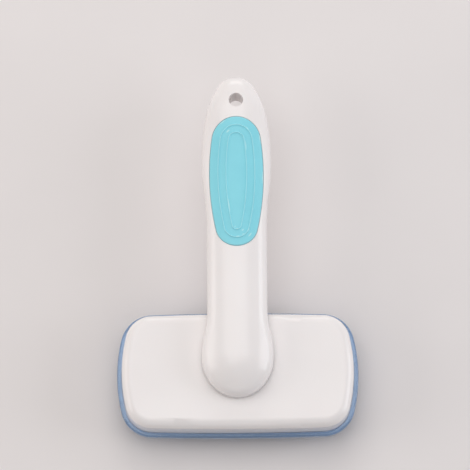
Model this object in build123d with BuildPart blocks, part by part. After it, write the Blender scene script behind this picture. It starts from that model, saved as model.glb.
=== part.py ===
from build123d import *
import os
from math import asin, atan2, cos, degrees, pi, sin, sqrt

# A slicker brush whose head strips itself clean. The handle, its pedestal, the pin tray and the
# wire pins are one rigid thing. The back cover and the slotted ejector plate under it are the
# other: pressed towards the pin tips they push the hair off the pins, and springs lift them back.
#
# Millimetres. The brush lies on its pin tips. +Z points away from the pins, and +Y runs from the
# head to the end of the handle. The origin is on the floor under the middle of the brush.

os.makedirs("parts", exist_ok=True)

# ------------------------------------------------------------------ head, seen from above
head_length = 113.6  # back cover across the brush, at its lower edge
head_width = 57.2  # back cover along the brush, at its lower edge
end_radius = 76.0  # bulge of each short side
side_radius = 1400.0  # bulge of each long side
corner_radius = 13.5
rim_width = 2.3  # how far the ejector plate stands out round the cover

# ------------------------------------------------------------------ head, from the floor up
pin_reach = 10.0  # pin tips to the ejector plate
plate_thickness = 2.0
plate_gap = 0.3  # ejector plate to the pad and tray, at rest
pad_thickness = 3.0
tray_thickness = 2.4
travel = 9.5  # how far the cover and the ejector plate are pressed
travel_spare = 1.6  # tray to the cover's ceiling, fully pressed
ceiling_thickness = 2.0
foot_gap = 0.8  # cover to the handle's foot, at rest

# ------------------------------------------------------------------ back cover and ejector plate
cover_wall = 2.0
cover_draft = 1.5  # degrees
cover_round = 4.5  # outer top edge
cover_relief = 1.6  # inner top edge
lip_height = 3.5  # ejector plate's upstand round the cover
lip_fit = 0.15
lip_round = 1.0
plate_chamfer = 0.8
post_radius = 2.5
post_inset = 11.4  # cover's wall line to a post, both ways
slot_width = 1.5
slot_margin = 1.2  # slot past the outermost wires

# ------------------------------------------------------------------ tray, pad and springs
tray_clearance = 0.4  # tray to the cover's wall
tray_rim = 1.6
pad_fit = 0.1
cup_wall = 1.1
cup_floor = 1.2
post_clearance = 0.4  # post in the cup's floor
spring_radius = 3.7  # middle of the wire
spring_wire = 0.7
spring_turns = 5
spring_steps = 10  # straight pieces in one turn
spring_slack = 0.3  # spring to the ceiling
spring_play = 0.2  # spring in its cup

# ------------------------------------------------------------------ wire pins
wire_diameter = 0.5
wire_sides = 4
pin_columns = 21
pin_pitch_x = 4.4
pin_pitch_y = 5.6
staples_per_column = 4
pin_stagger = 1.4  # every other column is shifted by this each way
knee_height = 6.5  # where a wire bends, above its tip
knee_shift = 3.2  # tip ahead of the knee, towards the handle

# ------------------------------------------------------------------ handle, seen from above
handle_reach = 144.7  # middle of the head to the end of the handle
tip_radius = 10.2
shoulder_radius = 48.0
swelling_half = 16.9
swelling_from_tip = 42.0
swelling_radius = 118.0
waist_radius = 160.0  # hollow curve from the swelling into the neck
neck_half = 14.6
neck_past_cover = 1.0  # where the neck starts to widen, inside the cover's edge
foot_half = 17.5
foot_nose = 20.0  # length of the foot's rounded end
foot_past_middle = 13.8  # foot's end past the middle of the head

# ------------------------------------------------------------------ handle, seen from the side
foot_height = 14.6  # foot's underside to the level line of the back
crown_radius = 26.0  # back across the handle
nose_radius = 29.0  # bend of the back down over the foot's end
tip_bend_radius = 56.0  # bend of the back down towards the hanging hole
tip_bend_past_grip = 1.0  # where it starts, past the thumb grip
belly_depth = 21.0  # level line of the back to the lowest line of the underside
belly_low_from_tip = 83.0
belly_radius = 900.0  # long bow of the underside
back_round = 7.0
belly_round = 4.5
step_clearance = 1.0  # neck's underside to the cover's wall
step_round = 3.0
parting_height = 1.5  # joint of the two shells above the foot's underside
shell_wall = 2.0
bend_turn = 65.0  # degrees that a bend goes on for, past the handle's end
form_spare = 3.0  # how far a cutting shape reaches past what it cuts
upright_limit = 0.1  # rise of a wall's normal, at most
level_limit = 0.9  # rise of a rim, at most

# ------------------------------------------------------------------ hanging hole and thumb grip
hole_radius = 3.5
hole_from_tip = 13.2
hole_sleeve = 2.0
sleeve_fit = 0.1
grip_top_from_tip = 21.8
grip_bottom_from_tip = 86.3
grip_top_radius = 12.0
grip_bottom_radius = 10.3
grip_side_radius = 128.0
grip_depth = 1.1  # recess in the shell
grip_proud = 0.4
grip_fit = 0.1
bead_width = 1.0
bead_height = 0.5
bead_insets = (3.7, 7.6)

# ------------------------------------------------------------------ pedestal and screws
pedestal_width = 17.0
pedestal_length = 29.0
pedestal_past_middle = -4.0  # its middle, towards the handle from the middle of the head
pedestal_wall = 2.2
pedestal_floor = 7.0
pedestal_clearance = 0.4
tray_screw_x = 4.6
tray_screw_y = 9.0
screw_radius = 1.2
screw_play = 0.1
screw_head_radius = 2.2
screw_head_height = 1.2
screw_head_play = 0.25
screw_tip_gap = 0.5
screw_sink = 0.1  # cover screws' heads inside the ejector plate
tray_screw_length = 7.0
cover_screw_length = 9.0
handle_screw_length = 9.0
handle_boss_radius = 3.8
handle_screw_seat = 3.0  # head's seat below the joint of the shells
neck_screw_from_tip = 98.0
tail_screw_from_tip = 30.0

# ------------------------------------------------------------------ places worked out from them
overall_length = handle_reach + head_width / 2 + rim_width
tip_y = overall_length / 2
head_y = tip_y - handle_reach
foot_end_y = head_y - foot_past_middle
nose_y = foot_end_y + foot_nose
cover_edge_y = head_y + head_width / 2
pedestal_y = head_y - pedestal_past_middle

plate_z = pin_reach
plate_top = plate_z + plate_thickness
pad_z = plate_top + plate_gap
tray_z = pad_z + pad_thickness
tray_top = tray_z + tray_thickness
ceiling_z = tray_top + travel + travel_spare
cover_top = ceiling_z + ceiling_thickness
foot_z = cover_top + foot_gap
parting_z = foot_z + parting_height
back_z = foot_z + foot_height
belly_z = back_z - belly_depth
belly_low_y = tip_y - belly_low_from_tip
neck_y = cover_edge_y - neck_past_cover
tip_bend_y = tip_y - grip_top_from_tip + tip_bend_past_grip

step_y = cover_edge_y + step_clearance
cup_seat_z = pad_z + cup_floor
tray_screw_seat = tray_z + screw_head_height
cover_screw_seat = plate_z + screw_sink + screw_head_height
cup_radius = spring_radius + spring_wire / 2 + spring_play
post_x = head_length / 2 - post_inset
post_y = head_width / 2 - post_inset
post_places = [(sx * post_x, head_y + sy * post_y) for sy in (-1, 1) for sx in (-1, 1)]
# turned, because the start of its round wall must lie off the back's own start line
hole_place = Location((0, tip_y - hole_from_tip, 0), (0, 0, 90))
handle_screw_places = [(0, tip_y - neck_screw_from_tip), (0, tip_y - tail_screw_from_tip)]
tray_screw_places = [
    (sx * tray_screw_x, pedestal_y + sy * tray_screw_y) for sy in (-1, 1) for sx in (-1, 1)
]


def belly_height(y, rise=0.0):
    """Height of the handle's underside at y, or of a line that lies rise over it."""
    radius = belly_radius - rise
    return belly_z + belly_radius - sqrt(radius**2 - (y - belly_low_y) ** 2)


def arc_center(first, from_first, second, from_second):
    """Where an arc that runs smoothly into two others has its centre: at these distances from
    theirs, to the left of the way from the first to the second."""
    way = second - first
    along = (from_first**2 - from_second**2 + way.length**2) / (2 * way.length)
    across = sqrt(from_first**2 - along**2)
    ahead = way.normalized()
    return first + ahead * along + ahead.rotate(Axis.Z, 90) * across


def heading(center, other):
    """Direction in degrees in which one point lies from another."""
    return degrees(atan2(other.Y - center.Y, other.X - center.X))


def handle_plan(inset):
    """The handle seen from above: a round end, a swelling for the thumb, a straight neck, and a
    foot that ends in half an ellipse over the head."""
    tip = Vector(0, tip_y - tip_radius)
    swelling = Vector(swelling_half - swelling_radius, tip_y - swelling_from_tip)
    shoulder_reach = swelling_radius - shoulder_radius
    shoulder = arc_center(tip, shoulder_radius - tip_radius, swelling, shoulder_reach)
    waist_x = neck_half + waist_radius
    waist_rise = sqrt((swelling_radius + waist_radius) ** 2 - (waist_x - swelling.X) ** 2)
    waist = Vector(waist_x, swelling.Y - waist_rise)
    # the foot widens over two equal arcs, a hollow one and a round one
    widening = Vector(foot_half - neck_half, neck_y - nose_y)
    foot_radius = widening.length**2 / (4 * widening.X)
    hollow = Vector(neck_half + foot_radius, neck_y)
    bulge = Vector(foot_half - foot_radius, nose_y)
    tip_turn = heading(shoulder, tip)
    shoulder_turn = heading(swelling, shoulder)
    waist_turn = heading(swelling, waist)
    foot_turn = heading(bulge, hollow)
    with BuildSketch(Plane.XY.offset(belly_z - form_spare)) as plan:
        with BuildLine():
            CenterArc(tip, tip_radius - inset, tip_turn, 90 - tip_turn)
            CenterArc(shoulder, shoulder_radius - inset, shoulder_turn, tip_turn - shoulder_turn)
            CenterArc(swelling, swelling_radius - inset, waist_turn, shoulder_turn - waist_turn)
            inlet = CenterArc(waist, waist_radius + inset, 180, waist_turn)
            widened = CenterArc(hollow, foot_radius + inset, 180, foot_turn)
            Line(inlet @ 0, widened @ 0)
            CenterArc(bulge, foot_radius - inset, 0, foot_turn)
            nose = (foot_half - inset, foot_nose - inset)
            EllipticalCenterArc((0, nose_y), *nose, 0, arc_size=-90)
            mirror(about=Plane.YZ)
        make_face()
    return plan.sketch


def back_arch(inset):
    """Section across the handle of what lies over its back: an arc below, flat at the top."""
    high = back_z + belly_depth
    crown = crown_radius - inset
    half = foot_half + form_spare
    foot = back_z - inset - crown + sqrt(crown**2 - half**2)
    with BuildSketch(Plane.XZ.offset(-nose_y)) as arch:
        with BuildLine():
            crest = ThreePointArc((-half, foot), (0, back_z - inset), (half, foot))
            Polyline(crest @ 1, (half, high), (-half, high), crest @ 0)
        make_face()
    return arch.sketch


def wall_faces(form):
    """The upright faces of a form."""
    return form.faces().filter_by(lambda face: abs(face.normal_at().Z) < upright_limit)


def wall_rims(form):
    """The edges that run round a handle form along the top and the bottom of its upright walls."""
    walls = wall_faces(form)
    return walls.edges().filter_by(lambda edge: abs(edge.tangent_at(0.5).Z) < level_limit)


def handle_form(inset):
    """The handle's outside, or at an inset the space inside its walls, with its edges left sharp."""
    ends = (foot_end_y - form_spare, tip_y + form_spare)
    below = belly_z - 2 * form_spare
    with BuildPart() as form:
        extrude(handle_plan(inset), amount=belly_depth + 2 * form_spare)
        # the underside bows along the handle
        with BuildSketch(Plane.YZ):
            with BuildLine():
                bow = ThreePointArc(
                    (ends[0], belly_height(ends[0], inset)),
                    (belly_low_y, belly_height(belly_low_y, inset)),
                    (ends[1], belly_height(ends[1], inset)),
                )
                Polyline(bow @ 1, (ends[1], below), (ends[0], below), bow @ 0)
            make_face()
        extrude(amount=foot_half + form_spare, both=True, mode=Mode.SUBTRACT)
        # the back is an arc across: level along the handle, bent down over the nose and at the tip
        arch = back_arch(inset)
        extrude(arch, amount=nose_y - tip_bend_y, mode=Mode.SUBTRACT)
        nose_axis = Axis((0, nose_y, back_z - nose_radius), (1, 0, 0))
        revolve(arch, axis=nose_axis, revolution_arc=bend_turn, mode=Mode.SUBTRACT)
        tip_axis = Axis((0, tip_bend_y, back_z - tip_bend_radius), (-1, 0, 0))
        tip_arch = arch.moved(Location((0, tip_bend_y - nose_y, 0)))
        revolve(tip_arch, axis=tip_axis, revolution_arc=bend_turn, mode=Mode.SUBTRACT)
        if not inset:
            fillet(wall_rims(form).filter_by(lambda edge: edge.center().Z > parting_z), back_round)
            fillet(wall_rims(form).filter_by(lambda edge: edge.center().Z < parting_z), belly_round)
    return form.part


def head_outline(z, grow):
    """Rounded oblong with bulging sides, grow outside the back cover's lower edge: what four large
    circles have in common, with its corners rounded."""
    end_x = head_length / 2 - end_radius
    side_y = head_width / 2 - side_radius
    with BuildSketch(Plane((0, head_y, z))) as outline:
        with Locations((end_x, 0)):
            Circle(end_radius + grow)
        with Locations((-end_x, 0)):
            Circle(end_radius + grow, mode=Mode.INTERSECT)
        with Locations((0, side_y)):
            Circle(side_radius + grow, mode=Mode.INTERSECT)
        with Locations((0, -side_y)):
            Circle(side_radius + grow, mode=Mode.INTERSECT)
        fillet(outline.vertices(), corner_radius + grow)
    return outline.sketch


def stadium(z, grow):
    """The pedestal's outline, or one that lies grow outside it."""
    with BuildSketch(Plane((0, pedestal_y, z))) as outline:
        SlotOverall(pedestal_length + 2 * grow, pedestal_width + 2 * grow, rotation=90)
    return outline.sketch


def grip_plan(z, inset):
    """The thumb grip's outline, or a line that lies inset inside it: a wide round end towards the
    hole and a narrow one towards the head, with a long arc along each side."""
    top = Vector(0, tip_y - grip_top_from_tip - grip_top_radius)
    bottom = Vector(0, tip_y - grip_bottom_from_tip + grip_bottom_radius)
    from_bottom = grip_side_radius - grip_bottom_radius
    side = arc_center(bottom, from_bottom, top, grip_side_radius - grip_top_radius)
    top_turn = heading(side, top)
    bottom_turn = heading(side, bottom)
    with BuildSketch(Plane.XY.offset(z)) as outline:
        with BuildLine():
            CenterArc(top, grip_top_radius - inset, top_turn, 90 - top_turn)
            CenterArc(side, grip_side_radius - inset, bottom_turn, top_turn - bottom_turn)
            CenterArc(bottom, grip_bottom_radius - inset, -90, 90 + bottom_turn)
            mirror(about=Plane.YZ)
        make_face()
    return outline.sketch


def back_layer(plan, low, high):
    """What a plan cuts from a layer of the back's level stretch, low to high over its surface."""
    with BuildPart() as layer:
        with BuildSketch(Plane.XZ.offset(-nose_y)):
            with Locations((0, back_z - crown_radius)):
                Circle(crown_radius + high)
                Circle(crown_radius + low, mode=Mode.SUBTRACT)
        extrude(amount=nose_y - tip_bend_y)
        extrude(plan, amount=belly_depth, mode=Mode.INTERSECT)
    return layer.part


def screw(x, y, seat, length):
    """A pan-head screw pointing up, its head's upper face on the seat."""
    with BuildPart() as body:
        with BuildSketch(Plane((x, y, seat))):
            Circle(screw_head_radius)
        extrude(amount=-screw_head_height)
        with BuildSketch(Plane((x, y, seat))):
            Circle(screw_radius)
        extrude(amount=length)
    return body.part


def save(part, name):
    """Label a finished piece and write its file."""
    part.label = name
    export_step(part, f"parts/{name}.step")


def handle_hollow():
    """The space between the two shells, less the wall that ends the neck behind the head."""
    with BuildPart() as hollow:
        add(handle_form(shell_wall))
        with BuildSketch(Plane.YZ):
            with Locations((step_y + shell_wall, parting_z)):
                Rectangle(handle_reach, belly_depth, align=(Align.MAX, Align.MAX))
        extrude(amount=head_length, both=True, mode=Mode.SUBTRACT)
    return hollow.part


# ------------------------------------------------------------------ handle
# the hanging hole's sleeve and the screw bosses start and end in the middle of the walls
with BuildPart() as sleeve:
    with BuildSketch(Plane.XY.offset(belly_z)):
        with Locations(hole_place):
            Circle(hole_radius + hole_sleeve)
    extrude(amount=belly_depth)
    add(handle_form(shell_wall / 2), mode=Mode.INTERSECT)

with BuildPart() as bosses:
    with BuildSketch(Plane.XY.offset(belly_z)):
        with Locations(*handle_screw_places):
            Circle(handle_boss_radius)
    extrude(amount=belly_depth)
    add(handle_form(shell_wall / 2), mode=Mode.INTERSECT)

with BuildPart() as handle_upper_shell:
    add(handle_form(0))
    split(bisect_by=Plane.XY.offset(parting_z), keep=Keep.TOP)
    add(handle_hollow(), mode=Mode.SUBTRACT)
    add(bosses.part.split(Plane.XY.offset(parting_z), keep=Keep.TOP))
    add(sleeve.part)
    add(back_layer(grip_plan(parting_z, -grip_fit), -grip_depth, form_spare), mode=Mode.SUBTRACT)
    with BuildSketch(Plane.XY.offset(belly_z)):
        with Locations(hole_place):
            Circle(hole_radius)
    extrude(amount=belly_depth + form_spare, mode=Mode.SUBTRACT)
    # pilot holes for the two handle screws
    with BuildSketch(Plane.XY.offset(parting_z)):
        with Locations(*handle_screw_places):
            Circle(screw_radius + screw_play)
    pilot_depth = handle_screw_length - handle_screw_seat + screw_tip_gap
    extrude(amount=pilot_depth, mode=Mode.SUBTRACT)
save(handle_upper_shell.part, "handle_upper_shell")

with BuildPart() as handle_lower_shell:
    add(handle_form(0))
    split(bisect_by=Plane.XY.offset(parting_z), keep=Keep.BOTTOM)
    add(handle_hollow(), mode=Mode.SUBTRACT)
    add(bosses.part.split(Plane.XY.offset(parting_z), keep=Keep.BOTTOM))
    with BuildSketch(Plane.XY.offset(belly_z - form_spare)):
        with Locations(hole_place):
            Circle(hole_radius + hole_sleeve + sleeve_fit)
    extrude(amount=belly_depth, mode=Mode.SUBTRACT)
    # the foot stands over the head, and the neck ends behind it
    with BuildSketch(Plane.YZ) as head_room:
        with Locations((step_y, foot_z)):
            Rectangle(handle_reach, belly_depth, align=(Align.MAX, Align.MAX))
        fillet(head_room.vertices().sort_by(Axis.X)[-2:].sort_by(Axis.Y)[-1], step_round)
    extrude(amount=head_length, both=True, mode=Mode.SUBTRACT)
    # screws come up from below through the bosses
    with BuildSketch(Plane.XY.offset(parting_z)):
        with Locations(*handle_screw_places):
            Circle(screw_radius + screw_play)
    extrude(amount=-handle_screw_seat, mode=Mode.SUBTRACT)
    with BuildSketch(Plane.XY.offset(parting_z - handle_screw_seat)):
        with Locations(*handle_screw_places):
            Circle(screw_head_radius + screw_head_play)
    extrude(amount=-belly_depth, mode=Mode.SUBTRACT)
    # hollow pedestal down to the pin tray
    extrude(stadium(tray_top, 0), amount=foot_z - tray_top)
    core_height = parting_z - tray_top - pedestal_floor
    extrude(stadium(parting_z, -pedestal_wall), amount=-core_height, mode=Mode.SUBTRACT)
    with BuildSketch(Plane.XY.offset(tray_top)):
        with Locations(*tray_screw_places):
            Circle(screw_radius + screw_play)
    pilot_depth = tray_screw_seat + tray_screw_length + screw_tip_gap - tray_top
    extrude(amount=pilot_depth, mode=Mode.SUBTRACT)
save(handle_lower_shell.part, "handle_lower_shell")

for place, name in zip(handle_screw_places, ("neck", "tail")):
    save(screw(*place, parting_z - handle_screw_seat, handle_screw_length), f"handle_screw_{name}")

# soft inlay, a little proud of the back, with raised loops
with BuildPart() as thumb_grip:
    add(back_layer(grip_plan(parting_z, 0), -grip_depth, grip_proud))
    for bead_inset in bead_insets:
        with BuildSketch(Plane.XY.offset(parting_z), mode=Mode.PRIVATE) as loop:
            add(grip_plan(parting_z, bead_inset))
            add(grip_plan(parting_z, bead_inset + bead_width), mode=Mode.SUBTRACT)
        add(back_layer(loop.sketch, 0, grip_proud + bead_height))
save(thumb_grip.part, "thumb_grip")

# ------------------------------------------------------------------ pin tray, pad and pins
tray_grow = -cover_wall - tray_clearance
with BuildPart() as pin_tray:
    extrude(head_outline(pad_z, tray_grow), amount=tray_top - pad_z)
    with BuildSketch(Plane.XY.offset(pad_z)):
        add(head_outline(pad_z, tray_grow - tray_rim))
        with Locations(*post_places):
            Circle(cup_radius + cup_wall, mode=Mode.SUBTRACT)
    extrude(amount=pad_thickness, mode=Mode.SUBTRACT)
    with BuildSketch(Plane.XY.offset(tray_top)):
        with Locations(*post_places):
            Circle(cup_radius)
    extrude(amount=-(tray_top - cup_seat_z), mode=Mode.SUBTRACT)
    with BuildSketch(Plane.XY.offset(cup_seat_z)):
        with Locations(*post_places):
            Circle(post_radius + post_clearance)
    extrude(amount=-cup_floor, mode=Mode.SUBTRACT)
    # sunk seats for the screws into the pedestal
    with BuildSketch(Plane.XY.offset(tray_z)):
        with Locations(*tray_screw_places):
            Circle(screw_radius + screw_play)
    extrude(amount=tray_thickness, mode=Mode.SUBTRACT)
    with BuildSketch(Plane.XY.offset(tray_z)):
        with Locations(*tray_screw_places):
            Circle(screw_head_radius + screw_head_play)
    extrude(amount=screw_head_height, mode=Mode.SUBTRACT)
save(pin_tray.part, "pin_tray")

for index, place in enumerate(tray_screw_places, start=1):
    save(screw(*place, tray_screw_seat, tray_screw_length), f"tray_screw_{index}")

with BuildPart() as pin_pad:
    with BuildSketch(Plane.XY.offset(pad_z)):
        add(head_outline(pad_z, tray_grow - tray_rim - pad_fit))
        with Locations(*post_places):
            Circle(cup_radius + cup_wall + pad_fit, mode=Mode.SUBTRACT)
    extrude(amount=pad_thickness)
save(pin_pad.part, "pin_pad")

# one staple: two wires that share a crown on top of the pad and lean towards the handle below
# their knees; their tips are ground flat on the floor
lean_rate = knee_shift / knee_height
low_y = lean_rate * wire_diameter
with BuildPart() as staple:
    with BuildLine() as bent_wire:
        Polyline(
            (0, knee_shift + low_y, -wire_diameter),
            (0, 0, knee_height),
            (0, 0, tray_z - wire_diameter / 2),
            (0, pin_pitch_y, tray_z - wire_diameter / 2),
            (0, pin_pitch_y, knee_height),
            (0, pin_pitch_y + knee_shift + low_y, -wire_diameter),
        )
    with BuildSketch(Plane(bent_wire.line @ 0, z_dir=bent_wire.line % 0)):
        RegularPolygon(wire_diameter / 2, wire_sides)
    sweep(transition=Transition.RIGHT)
    split(bisect_by=Plane.XY, keep=Keep.TOP)

# columns of staples, every other one shifted; the outer columns leave room for the spring cups
pin_rows = {}
for column in range(pin_columns):
    x = (column - (pin_columns - 1) / 2) * pin_pitch_x
    shift = pin_stagger * (-1) ** column
    beside_cup = abs(x) > post_x - cup_radius - cup_wall - wire_diameter
    for row in range(staples_per_column):
        y = (2 * row - staples_per_column + 0.5) * pin_pitch_y + shift
        reach = max(abs(y), abs(y + pin_pitch_y))
        if beside_cup and reach > post_y - cup_radius - cup_wall - wire_diameter:
            continue
        pin_rows.setdefault(x, []).append(y)

with BuildPart() as wire_pins:
    with Locations(*[(x, head_y + y) for x in pin_rows for y in pin_rows[x]]):
        add(staple.part)
save(wire_pins.part, "wire_pins")

# ------------------------------------------------------------------ back cover
with BuildPart() as cover_space:
    extrude(head_outline(plate_top, -cover_wall), amount=ceiling_z - plate_top)
    chamfer(cover_space.faces().sort_by(Axis.Z)[-1].edges(), cover_relief)

with BuildPart() as back_cover:
    extrude(head_outline(plate_top, 0), amount=cover_top - plate_top)
    draft(wall_faces(back_cover), Plane.XY.offset(plate_top), cover_draft)
    fillet(back_cover.faces().sort_by(Axis.Z)[-1].edges(), cover_round)
    add(cover_space.part, mode=Mode.SUBTRACT)
    extrude(stadium(ceiling_z, pedestal_clearance), amount=ceiling_thickness, mode=Mode.SUBTRACT)
    # posts that carry the ejector plate
    with BuildSketch(Plane.XY.offset(plate_top)):
        with Locations(*post_places):
            Circle(post_radius)
    extrude(amount=ceiling_z - plate_top)
    with BuildSketch(Plane.XY.offset(plate_top)):
        with Locations(*post_places):
            Circle(screw_radius + screw_play)
    extrude(amount=cover_screw_seat + cover_screw_length + screw_tip_gap - plate_top, mode=Mode.SUBTRACT)
save(back_cover.part, "back_cover")

# ------------------------------------------------------------------ ejector plate
with BuildPart() as ejector_plate:
    extrude(head_outline(plate_z, rim_width), amount=plate_thickness + lip_height)
    fillet(ejector_plate.faces().sort_by(Axis.Z)[-1].edges(), lip_round)
    chamfer(ejector_plate.faces().sort_by(Axis.Z)[0].edges(), plate_chamfer)
    extrude(head_outline(plate_top, lip_fit), amount=lip_height, mode=Mode.SUBTRACT)
    # one long slot for each column of wires, ahead of them by as much as they lean
    with BuildSketch(Plane((0, head_y, plate_z))):
        for x, rows in pin_rows.items():
            low = rows[0] - slot_margin
            high = rows[-1] + pin_pitch_y + knee_shift + slot_margin
            with Locations((x, (low + high) / 2)):
                SlotOverall(high - low, slot_width, rotation=90)
    extrude(amount=plate_thickness, mode=Mode.SUBTRACT)
    with BuildSketch(Plane.XY.offset(plate_z)):
        with Locations(*post_places):
            Circle(screw_radius + screw_play)
    extrude(amount=plate_thickness, mode=Mode.SUBTRACT)
    with BuildSketch(Plane.XY.offset(cover_screw_seat)):
        with Locations(*post_places):
            Circle(screw_head_radius + screw_head_play)
    extrude(amount=-plate_thickness, mode=Mode.SUBTRACT)
save(ejector_plate.part, "ejector_plate")

# ------------------------------------------------------------------ springs and cover screws
spring_height = ceiling_z - spring_slack - cup_seat_z
open_rise = (spring_height - 3 * spring_wire) / (spring_turns - 2)


def coil_height(turn):
    """Height of the wire's middle over the seat: closed end turns, open ones between."""
    if turn < 1:
        return spring_wire * (turn + 0.5)
    if turn > spring_turns - 1:
        return spring_height - spring_wire * (spring_turns - turn + 0.5)
    return spring_wire * 1.5 + open_rise * (turn - 1)


coil_points = []
for step in range(spring_turns * spring_steps + 1):
    turn = step / spring_steps
    angle = 2 * pi * turn
    point = (spring_radius * cos(angle), spring_radius * sin(angle), coil_height(turn))
    coil_points.append(point)
with BuildPart() as spring:
    with BuildLine() as coil:
        Polyline(*coil_points)
    with BuildSketch(Plane(coil.line @ 0, x_dir=(1, 0, 0), z_dir=coil.line % 0)):
        Rectangle(spring_wire, spring_wire)
    sweep(transition=Transition.RIGHT)

for index, place in enumerate(post_places, start=1):
    save(Pos(*place, cup_seat_z) * spring.part, f"return_spring_{index}")
    save(screw(*place, cover_screw_seat, cover_screw_length), f"cover_screw_{index}")
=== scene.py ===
from math import atan2, cos, pi, radians, sin, sqrt

import bmesh
import bpy
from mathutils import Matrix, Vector


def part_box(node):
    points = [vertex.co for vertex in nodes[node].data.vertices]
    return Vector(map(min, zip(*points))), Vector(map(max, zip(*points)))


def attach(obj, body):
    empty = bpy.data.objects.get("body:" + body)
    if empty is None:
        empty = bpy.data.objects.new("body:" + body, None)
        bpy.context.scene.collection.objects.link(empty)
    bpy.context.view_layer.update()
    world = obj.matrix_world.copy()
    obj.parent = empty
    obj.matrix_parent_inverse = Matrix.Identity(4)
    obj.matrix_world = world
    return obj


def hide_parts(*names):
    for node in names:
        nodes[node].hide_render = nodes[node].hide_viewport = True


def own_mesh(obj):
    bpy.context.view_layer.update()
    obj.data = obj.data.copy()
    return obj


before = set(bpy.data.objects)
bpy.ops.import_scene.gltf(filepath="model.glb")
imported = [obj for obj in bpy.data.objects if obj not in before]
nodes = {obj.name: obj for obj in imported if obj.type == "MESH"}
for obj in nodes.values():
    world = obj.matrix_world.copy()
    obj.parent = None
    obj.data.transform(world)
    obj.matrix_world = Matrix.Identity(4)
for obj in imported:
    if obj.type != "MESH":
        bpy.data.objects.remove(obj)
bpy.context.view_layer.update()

mm = 0.001

# ---------------------------------------------------------------- handle shells
# The handle is two injection-moulded ABS shells, screwed together from below. The upper one
# carries the long foot over the head and the hole's sleeve, the lower one the pedestal. The
# moulds are polished, so the skin is glossy, with the faint waviness of a plastic wall.
white_light = "#F3EFEE"
white_shade = "#ECE7E6"
abs_drift = 40 * mm  # how far apart the lighter and darker areas lie
abs_scuff = 2.5 * mm  # patches where handling has dulled the gloss
abs_waviness = 7 * mm  # from one soft rise of the skin to the next
abs_waviness_depth = 0.012 * mm
abs_edge = 0.25 * mm  # how much a moulded edge is rounded
noise_span = {"From Min": 0.3, "From Max": 0.7}  # nearly all of a noise lies between these
factor, colour_a, colour_b = 0, 6, 7  # the inputs of a Mix node that mixes colours
mixed = 2  # and its output


def linear(code):
    """An sRGB hex colour as the linear RGBA that a shader socket takes."""
    channels = [int(code[i:i + 2], 16) / 255 for i in (1, 3, 5)]
    curve = [c / 12.92 if c <= 0.04045 else ((c + 0.055) / 1.055) ** 2.4 for c in channels]
    return (*curve, 1.0)


def add_node(tree, kind, settings, links):
    """Add a node. Settings are its properties or unlinked sockets. Links are its linked inputs,
    each with the node and the output that feeds it."""
    node = tree.nodes.new(kind)
    for name, value in settings.items():
        if isinstance(name, int) or name in node.inputs:
            node.inputs[name].default_value = value
        else:
            setattr(node, name, value)
    for name, (source, output) in links.items():
        tree.links.new(source.outputs[output], node.inputs[name])
    return node


def start_material(name, constants):
    """A new material with a Principled shader, its constants and the object's own coordinates."""
    material = bpy.data.materials.new(name)
    material.use_nodes = True
    tree = material.node_tree
    shader = tree.nodes["Principled BSDF"]
    for socket, value in constants.items():
        shader.inputs[socket].default_value = value
    place = (add_node(tree, "ShaderNodeTexCoord", {}, {}), "Object")
    return material, tree, shader, place


def finish_material(tree, shader, links):
    """Link a material's last nodes to its shader."""
    for socket, (source, output) in links.items():
        tree.links.new(source.outputs[output], shader.inputs[socket])


def dress(piece, material):
    """Give a piece its one material and its finish."""
    piece.data.materials.clear()
    piece.data.materials.append(material)


constants = {
    "IOR": 1.53,
    "Subsurface Weight": 0.08,
    "Subsurface Radius": (1.2 * mm, 1.0 * mm, 0.9 * mm),
    "Subsurface Scale": 1.0,
}
polished_abs, tree, shader, place = start_material("polished_white_abs", constants)
drift = add_node(tree, "ShaderNodeTexNoise", {"Scale": 1 / abs_drift}, {"Vector": place})
settings = {"data_type": "RGBA", colour_a: linear(white_light), colour_b: linear(white_shade)}
colour = add_node(tree, "ShaderNodeMix", settings, {factor: (drift, "Fac")})
settings = {"Scale": 1 / abs_scuff, "Detail": 4.0}
scuffs = add_node(tree, "ShaderNodeTexNoise", settings, {"Vector": place})
settings = {**noise_span, "To Min": 0.18, "To Max": 0.26}
gloss = add_node(tree, "ShaderNodeMapRange", settings, {"Value": (scuffs, "Fac")})
settings = {"samples": 6, "Radius": abs_edge}
edges = add_node(tree, "ShaderNodeBevel", settings, {})
settings = {"Scale": 1 / abs_waviness, "Detail": 1.0}
waves = add_node(tree, "ShaderNodeTexNoise", settings, {"Vector": place})
links = {"Height": (waves, "Fac"), "Normal": (edges, "Normal")}
skin = add_node(tree, "ShaderNodeBump", {"Distance": abs_waviness_depth}, links)
links = {"Base Color": (colour, mixed), "Roughness": (gloss, "Result"), "Normal": (skin, "Normal")}
finish_material(tree, shader, links)
for name in ("handle_upper_shell", "handle_lower_shell"):
    dress(nodes[name], polished_abs)

# ---------------------------------------------------------------- thumb grip
# A soft inlay of thermoplastic rubber, moulded into the recess in the handle's back. It stands a
# little proud, with a rounded edge and two soft raised loops for the thumb. The mould is
# spark-eroded, so the skin is satin and slightly grained.
rubber_light = "#8CDDEA"
rubber_shade = "#82D4E3"
rubber_crest_highlight = "#B4E8EE"  # painted highlight: the loops' crests drawn paler, as if catching the light
rubber_drift = 12 * mm  # how far apart the lighter and darker areas lie
rubber_grain = 0.45 * mm  # drawn coarse to show: real grain is about 0.1 mm
rubber_grain_depth = 0.02 * mm
crest_highlight_span = {"From Min": 0.51, "From Max": 0.56}  # Pointiness of a loop, where flat is 0.5
grip_top_radius = 12.0 * mm
grip_bottom_radius = 10.3 * mm
grip_side_radius = 128.0 * mm
grip_crown = 26.0 * mm  # radius of the handle's back across it
grip_proud = 0.4 * mm  # how far its face stands out of the handle's back
grip_depth = 1.1 * mm  # how far it goes down into the recess
grip_edge = 0.7 * mm  # round of the outer edge
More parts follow.
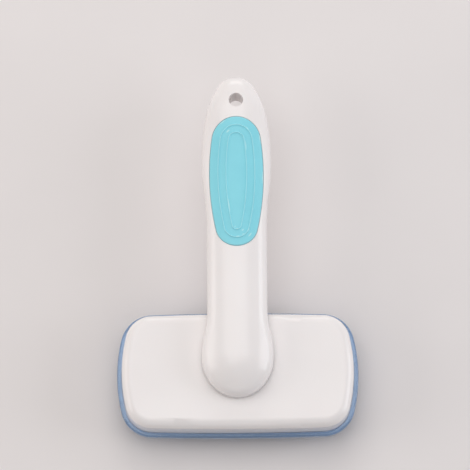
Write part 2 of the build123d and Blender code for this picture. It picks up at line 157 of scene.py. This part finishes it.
loop_insets = (4.2 * mm, 8.1 * mm)  # edge of the grip to the middle of a loop
loop_half = 0.6 * mm  # half the width of a loop at its foot
loop_height = 0.5 * mm
ring_step = 0.1 * mm
ring_count = 99  # from the edge inwards, to near the middle
under_step = 20  # the hidden underside has a ring for every twentieth one of the face
arc_steps = 16  # round each end
side_steps = 28  # down a long side
merge_gap = 0.001 * mm  # points nearer than this count as one

low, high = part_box("thumb_grip")
crest_z = high.z - loop_height - grip_proud  # the handle's back along its middle
top_y = high.y - grip_top_radius
bottom_y = low.y + grip_bottom_radius
from_bottom = grip_side_radius - grip_bottom_radius
from_top = grip_side_radius - grip_top_radius
apart = top_y - bottom_y
along = (from_bottom**2 - from_top**2 + apart**2) / (2 * apart)
side_x = -sqrt(from_bottom**2 - along**2)
side_y = bottom_y + along
top_turn = atan2(top_y - side_y, -side_x)
bottom_turn = atan2(bottom_y - side_y, -side_x)


def grip_line(inset):
    """Points down the grip's right side at an inset: round top, long side, round bottom."""
    arcs = (
        (0, top_y, grip_top_radius, pi / 2, top_turn, arc_steps),
        (side_x, side_y, grip_side_radius, top_turn, bottom_turn, side_steps),
        (0, bottom_y, grip_bottom_radius, bottom_turn, -pi / 2, arc_steps),
    )
    points = [(0.0, high.y - inset)]
    for x, y, radius, first, last, steps in arcs:
        for step in range(1, steps + 1):
            angle = first + (last - first) * step / steps
            reach = radius - inset
            points.append((x + reach * cos(angle), y + reach * sin(angle)))
    return points


def grip_rise(inset):
    """Height of the grip's skin over the handle's back: rounded edge, flat face, two loops."""
    edge = max(0.0, 1 - inset / grip_edge)
    rise = grip_proud - grip_edge * (1 - sqrt(1 - edge**2))
    for loop_inset in loop_insets:
        off = abs(inset - loop_inset) / loop_half
        if off < 1:
            rise += loop_height * (1 + cos(pi * off)) / 2
    return rise


under = range(ring_count - 1, 0, -under_step)
profile = [(step * ring_step, -grip_depth) for step in under]
profile += [(0.0, -grip_depth)]
profile += [(step * ring_step, grip_rise(step * ring_step)) for step in range(ring_count)]
mesh = bmesh.new()
rings = []
for inset, rise in profile:
    right = []
    left = []
    for x, y in grip_line(inset):
        z = crest_z - grip_crown + sqrt((grip_crown + rise) ** 2 - x**2)
        right.append(mesh.verts.new((x, y, z)))
        left.append(right[-1] if abs(x) < merge_gap else mesh.verts.new((-x, y, z)))
    rings.append((right, left))
for ring, following in zip(rings, rings[1:]):
    for side, inner in zip(ring, following):
        for step in range(len(side) - 1):
            mesh.faces.new((side[step], side[step + 1], inner[step + 1], inner[step]))
for ring, rise in ((rings[0], -grip_depth), (rings[-1], grip_proud)):
    right = ring[0]
    spine = [mesh.verts.new((0, point.co.y, crest_z + rise)) for point in right[1:-1]]
    spine = [right[0], *spine, right[-1]]
    for side in ring:
        for step in range(len(side) - 1):
            corners = [side[step], side[step + 1], spine[step + 1], spine[step]]
            mesh.faces.new(list(dict.fromkeys(corners)))
for face in mesh.faces:
    face.smooth = True


def piece_of(mesh, name):
    """Turn a finished bmesh into an object of that name."""
    bmesh.ops.recalc_face_normals(mesh, faces=mesh.faces)
    data = bpy.data.meshes.new(name)
    mesh.to_mesh(data)
    mesh.free()
    piece = bpy.data.objects.new(name, data)
    bpy.context.scene.collection.objects.link(piece)
    return piece


grip = piece_of(mesh, "soft_thumb_grip")

constants = {"IOR": 1.5, "Sheen Weight": 0.15, "Sheen Roughness": 0.4}
soft_rubber, tree, shader, place = start_material("moulded_turquoise_rubber", constants)
drift = add_node(tree, "ShaderNodeTexNoise", {"Scale": 1 / rubber_drift}, {"Vector": place})
settings = {"data_type": "RGBA", colour_a: linear(rubber_light), colour_b: linear(rubber_shade)}
body = add_node(tree, "ShaderNodeMix", settings, {factor: (drift, "Fac")})
bends = add_node(tree, "ShaderNodeNewGeometry", {}, {})
# painted highlight: where the skin bends most, on the loops' crests, the colour is mixed paler
crest_highlight_mask = add_node(tree, "ShaderNodeMapRange", crest_highlight_span, {"Value": (bends, "Pointiness")})
settings = {"data_type": "RGBA", colour_b: linear(rubber_crest_highlight)}
links = {factor: (crest_highlight_mask, "Result"), colour_a: (body, mixed)}
colour = add_node(tree, "ShaderNodeMix", settings, links)
settings = {"Scale": 1 / rubber_grain, "Detail": 3.0}
grain = add_node(tree, "ShaderNodeTexNoise", settings, {"Vector": place})
settings = {**noise_span, "To Min": 0.42, "To Max": 0.55}
satin = add_node(tree, "ShaderNodeMapRange", settings, {"Value": (grain, "Fac")})
links = {"Height": (grain, "Fac")}
skin = add_node(tree, "ShaderNodeBump", {"Distance": rubber_grain_depth}, links)
links = {"Base Color": (colour, mixed), "Roughness": (satin, "Result"), "Normal": (skin, "Normal")}
finish_material(tree, shader, links)
dress(grip, soft_rubber)
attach(grip, "handle")
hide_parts("thumb_grip")

# ---------------------------------------------------------------- pin tray
# A plain moulding of the same ABS, fixed under the pedestal. Nobody sees its face, so the mould
# was left as milled and the skin is matt.
tray_light = "#E6E3E0"
tray_shade = "#DEDBD8"
tray_drift = 20 * mm
tool_marks = 0.8 * mm  # from one pass of the mould's cutter to the next
tool_mark_depth = 0.02 * mm

matt_abs, tree, shader, place = start_material("milled_mould_abs", {"IOR": 1.53})
drift = add_node(tree, "ShaderNodeTexNoise", {"Scale": 1 / tray_drift}, {"Vector": place})
settings = {"data_type": "RGBA", colour_a: linear(tray_light), colour_b: linear(tray_shade)}
colour = add_node(tree, "ShaderNodeMix", settings, {factor: (drift, "Fac")})
settings = {"Scale": 1 / tool_marks, "Detail": 3.0}
marks = add_node(tree, "ShaderNodeTexNoise", settings, {"Vector": place})
settings = {**noise_span, "To Min": 0.4, "To Max": 0.55}
matt = add_node(tree, "ShaderNodeMapRange", settings, {"Value": (marks, "Fac")})
links = {"Height": (marks, "Fac")}
skin = add_node(tree, "ShaderNodeBump", {"Distance": tool_mark_depth}, links)
links = {"Base Color": (colour, mixed), "Roughness": (matt, "Result"), "Normal": (skin, "Normal")}
finish_material(tree, shader, links)
dress(nodes["pin_tray"], matt_abs)

# ---------------------------------------------------------------- pin pad
# A cushion of closed-cell rubber, punched to shape and pressed into the tray. Every wire goes
# through it, and it lets them give a little. The cut cells make it dull and speckled.
pad_dark = "#3C4144"
pad_light = "#565C60"
cell_size = 0.9 * mm  # drawn coarse to show: real cells are about 0.3 mm
cell_depth = 0.12 * mm

cell_rubber, tree, shader, place = start_material("closed_cell_rubber", {"IOR": 1.5})
cells = add_node(tree, "ShaderNodeTexVoronoi", {"Scale": 1 / cell_size}, {"Vector": place})
settings = {"data_type": "RGBA", colour_a: linear(pad_dark), colour_b: linear(pad_light)}
colour = add_node(tree, "ShaderNodeMix", settings, {factor: (cells, "Distance")})
settings = {"To Min": 0.8, "To Max": 0.92}
dull = add_node(tree, "ShaderNodeMapRange", settings, {"Value": (cells, "Distance")})
links = {"Height": (cells, "Distance")}
skin = add_node(tree, "ShaderNodeBump", {"Distance": cell_depth}, links)
links = {"Base Color": (colour, mixed), "Roughness": (dull, "Result"), "Normal": (skin, "Normal")}
finish_material(tree, shader, links)
dress(nodes["pin_pad"], cell_rubber)

# ---------------------------------------------------------------- wire pins
# Staples of hard-drawn stainless wire, pushed through the pad from behind. Each has a crown that
# lies on the pad, two legs, and a knee in each leg that leans the tips towards the handle. The
# tips are ground flat and tumbled smooth.
steel_bright = "#D2D2D6"
steel_grey = "#BDBDC2"
drawing_marks = 1.5 * mm  # drawn coarse to show: real marks are under 0.1 mm
wire_radius = 0.25 * mm
wire_sides = 10
knee_height = 6.5 * mm
knee_shift = 3.2 * mm  # how far a tip leans out beyond its knee
knee_bend = 1.6 * mm  # radius of the bend at the knee
crown_bend = 0.7 * mm  # and of the two bends at the crown
bend_steps = 6
tip_chamfer = 0.08 * mm
staple_width = 5.6 * mm
staples_per_column = 4
column_pitch = 4.4 * mm
columns = 21
stagger = 1.4 * mm  # how far a column is moved, this way and that in turn
cup_reach_x = 39.55 * mm  # columns past this leave out the staples that would go
cup_reach_y = 11.35 * mm  # past this, because the spring cups stand there


def bent_path(corners, radii):
    """A path through corners with each inner corner rounded to its radius."""
    path = [corners[0]]
    for before, corner, after, radius in zip(corners, corners[1:], corners[2:], radii):
        back = (before - corner).normalized()
        ahead = (after - corner).normalized()
        half = back.angle(ahead) / 2
        reach = radius / (sin(half) / cos(half))
        middle = corner + (back + ahead).normalized() * (radius / sin(half))
        first = corner + back * reach - middle
        last = corner + ahead * reach - middle
        turn = first.angle(last)
        for step in range(bend_steps + 1):
            part = turn * step / bend_steps
            path.append(middle + (first * sin(turn - part) + last * sin(part)) / sin(turn))
    return path + [corners[-1]]


def tube(mesh, path, radius, sides, taper):
    """Sweep a round wire along a path, its two ends closed and chamfered by taper."""
    ahead = (path[1] - path[0]).normalized()
    side = ahead.orthogonal().normalized()
    rings = []
    stops = [(path[0], radius - taper), (path[0] + ahead * taper, radius)]
    stops += [(point, radius) for point in path[1:-1]]
    behind = (path[-2] - path[-1]).normalized()
    stops += [(path[-1] + behind * taper, radius), (path[-1], radius - taper)]
    for index, (point, size) in enumerate(stops):
        before = stops[max(index - 1, 0)][0]
        after = stops[min(index + 1, len(stops) - 1)][0]
        ahead = (after - before).normalized()
        side = (side - ahead * side.dot(ahead)).normalized()
        up = ahead.cross(side)
        ring = []
        for corner in range(sides):
            angle = 2 * pi * corner / sides
            ring.append(mesh.verts.new(point + (side * cos(angle) + up * sin(angle)) * size))
        rings.append(ring)
    for ring, following in zip(rings, rings[1:]):
        for corner in range(sides):
            other = (corner + 1) % sides
            face = (ring[corner], ring[other], following[other], following[corner])
            mesh.faces.new(face).smooth = True
    mesh.faces.new(reversed(rings[0]))
    mesh.faces.new(rings[-1])


low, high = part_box("wire_pins")
crown_z = high.z - wire_radius
tray_low, tray_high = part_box("pin_tray")
head_y = (tray_low.y + tray_high.y) / 2
tip_lift = (wire_radius - tip_chamfer) * sin(atan2(knee_shift, knee_height))
mesh = bmesh.new()
for column in range(columns):
    x = (column - (columns - 1) / 2) * column_pitch
    for row in range(staples_per_column):
        y = (2 * row - staples_per_column + 0.5) * staple_width + stagger * (-1) ** column
        if abs(x) > cup_reach_x and max(abs(y), abs(y + staple_width)) > cup_reach_y:
            continue
        near = head_y + y
        far = near + staple_width
        corners = [
            Vector((x, near + knee_shift, tip_lift)),
            Vector((x, near, knee_height)),
            Vector((x, near, crown_z)),
            Vector((x, far, crown_z)),
            Vector((x, far, knee_height)),
            Vector((x, far + knee_shift, tip_lift)),
        ]
        radii = (knee_bend, crown_bend, crown_bend, knee_bend)
        tube(mesh, bent_path(corners, radii), wire_radius, wire_sides, tip_chamfer)
pins = piece_of(mesh, "bent_wire_pins")

# The die leaves the wire bright, with fine marks that break up its shine.
drawn_steel, tree, shader, place = start_material("drawn_stainless_wire", {"Metallic": 1.0})
settings = {"Scale": 1 / drawing_marks, "Detail": 3.0}
marks = add_node(tree, "ShaderNodeTexNoise", settings, {"Vector": place})
settings = {"data_type": "RGBA", colour_a: linear(steel_bright), colour_b: linear(steel_grey)}
colour = add_node(tree, "ShaderNodeMix", settings, {factor: (marks, "Fac")})
settings = {**noise_span, "To Min": 0.18, "To Max": 0.32}
gloss = add_node(tree, "ShaderNodeMapRange", settings, {"Value": (marks, "Fac")})
finish_material(tree, shader, {"Base Color": (colour, mixed), "Roughness": (gloss, "Result")})
dress(pins, drawn_steel)
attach(pins, "handle")
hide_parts("wire_pins")

# ---------------------------------------------------------------- return springs
# Four compression springs, coiled from zinc-plated music wire, with closed end turns. They stand
# in the tray's cups round the cover's posts, and lift the cover again.
zinc_light = "#B9BBBE"
zinc_grey = "#A3A6AA"
plating_patch = 1.0 * mm  # from one duller patch of the plating to the next
spring_radius = 3.7 * mm
spring_wire = 0.7 * mm
spring_turns = 5
closed_turns = 1  # at each end, where wire lies on wire
turn_steps = 40
cut_chamfer = 0.05 * mm

# The thin plating is a little dull, so the springs look greyer than the pins.
spring_steel, tree, shader, place = start_material("zinc_plated_music_wire", {"Metallic": 1.0})
settings = {"Scale": 1 / plating_patch, "Detail": 2.0}
marks = add_node(tree, "ShaderNodeTexNoise", settings, {"Vector": place})
settings = {"data_type": "RGBA", colour_a: linear(zinc_light), colour_b: linear(zinc_grey)}
colour = add_node(tree, "ShaderNodeMix", settings, {factor: (marks, "Fac")})
settings = {**noise_span, "To Min": 0.22, "To Max": 0.38}
gloss = add_node(tree, "ShaderNodeMapRange", settings, {"Value": (marks, "Fac")})
finish_material(tree, shader, {"Base Color": (colour, mixed), "Roughness": (gloss, "Result")})

for index in range(1, 5):
    low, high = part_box(f"return_spring_{index}")
    middle = (low + high) / 2
    seat = low.z
    height = high.z - low.z
    rise = (height - 3 * spring_wire) / (spring_turns - 2 * closed_turns)
    path = []  # along the middle of the wire, which is half a wire above its seat
    for step in range(spring_turns * turn_steps + 1):
        turn = step / turn_steps
        if turn < closed_turns:
            z = spring_wire * (turn + 0.5)
        elif turn > spring_turns - closed_turns:
            z = height - spring_wire * (spring_turns - turn + 0.5)
        else:
            z = spring_wire * 1.5 + rise * (turn - closed_turns)
        angle = 2 * pi * turn
        across = spring_radius * cos(angle)
        along = spring_radius * sin(angle)
        path.append(Vector((middle.x + across, middle.y + along, seat + z)))
    mesh = bmesh.new()
    tube(mesh, path, spring_wire / 2, wire_sides, cut_chamfer)
    spring = piece_of(mesh, f"coil_spring_{index}")
    dress(spring, spring_steel)
    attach(spring, "handle")
    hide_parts(f"return_spring_{index}")
    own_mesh(spring)

# ---------------------------------------------------------------- back cover
# The cover is one ABS moulding from a polished mould, like the handle and in its white. A press
# of the palm on it sends it down with the plate.
dress(nodes["back_cover"], polished_abs)

# ---------------------------------------------------------------- ejector plate
# A clear styrene moulding, dyed blue in the mass. Its slots ride along the wires and its rim
# stands up round the cover. It is glossy, and its edges are painted paler, a painted highlight.
blue_clear = "#AED0F6"
blue_deep = "#A0C5F0"
blue_edge_highlight = "#E4EDFB"
blue_drift = 30 * mm  # how far apart the clearer and deeper areas lie
edge_highlight_width = 0.6 * mm  # how far in from an edge the painted highlight reaches
edge_span = {"From Min": 0.98, "From Max": 0.8}  # cosine of the skin's turn towards an edge
edge_highlight_share = 0.8  # how much of the painted highlight colour shows at the edge itself
melt_flow = 9 * mm  # soft streaks where the melt ran round the slots
melt_flow_depth = 0.02 * mm

blue_styrene, tree, shader, place = start_material(
    "clear_blue_styrene",
    {"IOR": 1.57, "Transmission Weight": 0.75, "Coat Weight": 0.3, "Coat Roughness": 0.05},
)
drift = add_node(tree, "ShaderNodeTexNoise", {"Scale": 1 / blue_drift}, {"Vector": place})
settings = {"data_type": "RGBA", colour_a: linear(blue_clear), colour_b: linear(blue_deep)}
body = add_node(tree, "ShaderNodeMix", settings, {factor: (drift, "Fac")})
# painted highlight: near each edge the colour is mixed towards a paler blue
edges = add_node(tree, "ShaderNodeBevel", {"samples": 8, "Radius": edge_highlight_width}, {})
flat = add_node(tree, "ShaderNodeNewGeometry", {}, {})
links = {0: (edges, "Normal"), 1: (flat, "Normal")}  # the two vectors
turned = add_node(tree, "ShaderNodeVectorMath", {"operation": "DOT_PRODUCT"}, links)
settings = {**edge_span, "To Max": edge_highlight_share}
edge_highlight_mask = add_node(tree, "ShaderNodeMapRange", settings, {"Value": (turned, "Value")})
settings = {"data_type": "RGBA", colour_b: linear(blue_edge_highlight)}
links = {factor: (edge_highlight_mask, "Result"), colour_a: (body, mixed)}
colour = add_node(tree, "ShaderNodeMix", settings, links)
flow = add_node(tree, "ShaderNodeTexNoise", {"Scale": 1 / melt_flow}, {"Vector": place})
settings = {**noise_span, "To Min": 0.05, "To Max": 0.12}
gloss = add_node(tree, "ShaderNodeMapRange", settings, {"Value": (flow, "Fac")})
links = {"Height": (flow, "Fac")}
skin = add_node(tree, "ShaderNodeBump", {"Distance": melt_flow_depth}, links)
links = {"Base Color": (colour, mixed), "Roughness": (gloss, "Result"), "Normal": (skin, "Normal")}
finish_material(tree, shader, links)
dress(nodes["ejector_plate"], blue_styrene)

# ---------------------------------------------------------------- screws
# Self-tapping screws of cold-headed, zinc-plated steel, with a pan head, a cross recess and a
# coarse thread that ends in a point. Four hold the tray, four the plate, two the handle's shells.
screw_bright = "#C9CBCC"
screw_grey = "#B4B8BA"
tumbling_marks = 0.6 * mm  # drawn coarse to show: real marks are about 0.1 mm
head_radius = 2.2 * mm
head_height = 1.2 * mm
head_round = 0.45 * mm
shank_radius = 1.0 * mm
point_length = 1.6 * mm
thread_radius = 0.22 * mm
thread_pitch = 1.0 * mm
thread_start = 0.4  # turns from the head to the first of the thread
thread_sides = 6
recess_reach = 1.25 * mm
recess_width = 0.5 * mm
recess_depth = 0.8 * mm
recess_narrowing = 0.6  # share of its width that the cutter has at its far end
lathe_steps = 40
round_steps = 5

# Tumbled in the plating drum, the screws have a soft, finely broken shine.
plated_steel, tree, shader, place = start_material("zinc_plated_steel", {"Metallic": 1.0})
settings = {"Scale": 1 / tumbling_marks, "Detail": 3.0}
grain = add_node(tree, "ShaderNodeTexNoise", settings, {"Vector": place})
settings = {"data_type": "RGBA", colour_a: linear(screw_bright), colour_b: linear(screw_grey)}
colour = add_node(tree, "ShaderNodeMix", settings, {factor: (grain, "Fac")})
settings = {**noise_span, "To Min": 0.25, "To Max": 0.4}
gloss = add_node(tree, "ShaderNodeMapRange", settings, {"Value": (grain, "Fac")})
finish_material(tree, shader, {"Base Color": (colour, mixed), "Roughness": (gloss, "Result")})


def cross_cutter():
    """Two crossed blades that narrow upwards, to cut a driver's recess from below."""
    mesh = bmesh.new()
    for across, along in ((recess_width, recess_reach), (recess_reach, recess_width)):
        levels = []
        for z, share in ((-recess_depth, 1.0), (recess_depth, recess_narrowing)):
            half_x = across * share / (1 if across > along else 2)
            half_y = along * share / (1 if along > across else 2)
            corners = ((-half_x, -half_y), (half_x, -half_y), (half_x, half_y), (-half_x, half_y))
            levels.append([mesh.verts.new((x, y, z)) for x, y in corners])
        lower, upper = levels
        mesh.faces.new(lower)
        mesh.faces.new(upper)
        for corner in range(4):
            other = (corner + 1) % 4
            mesh.faces.new((lower[corner], lower[other], upper[other], upper[corner]))
    return piece_of(mesh, "recess_cutter")


def screw_mesh(length):
    """A screw on its head, pointing up: turned profile, recess and thread."""
    total = head_height + length
    profile = [(0.0, 0.0), (head_radius - head_round, 0.0)]
    for step in range(1, round_steps + 1):
        angle = pi / 2 * step / round_steps
        out = head_radius - head_round * (1 - sin(angle))
        profile.append((out, head_round * (1 - cos(angle))))
    profile += [
        (head_radius, head_height),
        (shank_radius, head_height),
        (shank_radius, total - point_length),
        (0.0, total),
    ]
    mesh = bmesh.new()
    spine = [mesh.verts.new((radius, 0, z)) for radius, z in profile]
    edges = [mesh.edges.new(pair) for pair in zip(spine, spine[1:])]
    turned = {"geom": spine + edges, "cent": (0, 0, 0), "axis": (0, 0, 1), "angle": 2 * pi}
    bmesh.ops.spin(mesh, **turned, steps=lathe_steps, use_merge=True)
    bmesh.ops.remove_doubles(mesh, verts=mesh.verts, dist=merge_gap)
    for face in mesh.faces:
        face.smooth = True
    head = piece_of(mesh, "turned_screw")
    cutter = cross_cutter()
    cut = head.modifiers.new("recess", "BOOLEAN")
    cut.object = cutter
    shaped = head.evaluated_get(bpy.context.evaluated_depsgraph_get())
    mesh = bmesh.new()
    mesh.from_mesh(shaped.data)
    for done in (head, cutter):
        bpy.data.objects.remove(done)
    path = []
    turns = (length - point_length) / thread_pitch
    for step in range(int(turns * lathe_steps / 2)):
        angle = 4 * pi * step / lathe_steps
        z = head_height + thread_pitch * (angle / (2 * pi) + thread_start)
        path.append(Vector((shank_radius * cos(angle), shank_radius * sin(angle), z)))
    tube(mesh, path, thread_radius, thread_sides, thread_radius / 2)
    return mesh


for name in nodes:
    if "screw" in name:
        low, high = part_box(name)
        mesh = screw_mesh(high.z - low.z - head_height)
        foot = Vector(((low.x + high.x) / 2, (low.y + high.y) / 2, low.z))
        bmesh.ops.translate(mesh, verts=mesh.verts, vec=foot)
        driven = piece_of(mesh, name.replace("screw", "tapping_screw"))
        dress(driven, plated_steel)
        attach(driven, "press_head" if name.startswith("cover") else "handle")
        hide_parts(name)

# ---------------------------------------------------------------- floor, light and camera
# A pale matt tabletop under soft studio light: one wide lamp overhead, and four low
# fills round the brush, which keep the shadows thin.
floor_light = "#E6E1E0"
floor_shade = "#E1DCDB"
floor_drift = 60 * mm
floor_size = 3.0
fill_size = 0.6
sky_colour = "#F4F3F3"
sky_strength = 0.35

mesh = bmesh.new()
bmesh.ops.create_grid(mesh, x_segments=1, y_segments=1, size=floor_size)
floor = piece_of(mesh, "tabletop")
tabletop, tree, shader, place = start_material("matt_tabletop", {"Roughness": 0.7})
drift = add_node(tree, "ShaderNodeTexNoise", {"Scale": 1 / floor_drift}, {"Vector": place})
settings = {"data_type": "RGBA", colour_a: linear(floor_light), colour_b: linear(floor_shade)}
colour = add_node(tree, "ShaderNodeMix", settings, {factor: (drift, "Fac")})
finish_material(tree, shader, {"Base Color": (colour, mixed)})
floor.data.materials.append(tabletop)


def lamp(name, place, size, power, colour):
    """A square soft box that points at the brush."""
    data = bpy.data.lights.new(name, "AREA")
    data.size = size
    data.energy = power
    data.color = linear(colour)[:3]
    light = bpy.data.objects.new(name, data)
    light.location = place
    light.rotation_euler = (-Vector(place)).to_track_quat("-Z", "Y").to_euler()
    bpy.context.scene.collection.objects.link(light)


lamp("overhead_box", (-0.1, 0.25, 1.1), 1.0, 4.7, "#FFFDFC")
lamp("left_fill", (-0.85, -0.05, 0.4), fill_size, 2.5, "#FFF9F5")
lamp("right_fill", (0.85, -0.05, 0.4), fill_size, 3.1, "#F8FAFF")
lamp("far_fill", (0.0, 0.95, 0.4), fill_size, 2.6, "#FFFDFC")
lamp("near_fill", (0.0, -0.9, 0.45), fill_size, 0.42, "#FBFCFF")
world = bpy.data.worlds.new("studio")
world.use_nodes = True
bpy.context.scene.world = world
sky = world.node_tree.nodes["Background"]
sky.inputs["Color"].default_value = linear(sky_colour)
sky.inputs["Strength"].default_value = sky_strength

# The camera looks down at the brush's back from the head's end, 12 degrees off the upright.
elevation = radians(78)
distance = 1.6
camera_roll = radians(-0.4)  # the photograph shows the brush turned a little
photo_width = 470
photo_scale = 0.489 * mm  # one pixel at the height of the cover
aim = Vector((-0.88 * mm, 10.0 * mm, 31 * mm))  # what the middle of the photograph shows
data = bpy.data.cameras.new("camera")
data.lens = data.sensor_width * distance / (photo_width * photo_scale)
camera = bpy.data.objects.new("camera", data)
camera.location = aim + Vector((0, -cos(elevation), sin(elevation))) * distance
camera.rotation_euler = (radians(90) - elevation, 0, 0)
camera.rotation_euler.rotate_axis("Z", camera_roll)
bpy.context.scene.collection.objects.link(camera)
bpy.context.scene.camera = camera
bpy.context.scene.view_settings.view_transform = "Standard"
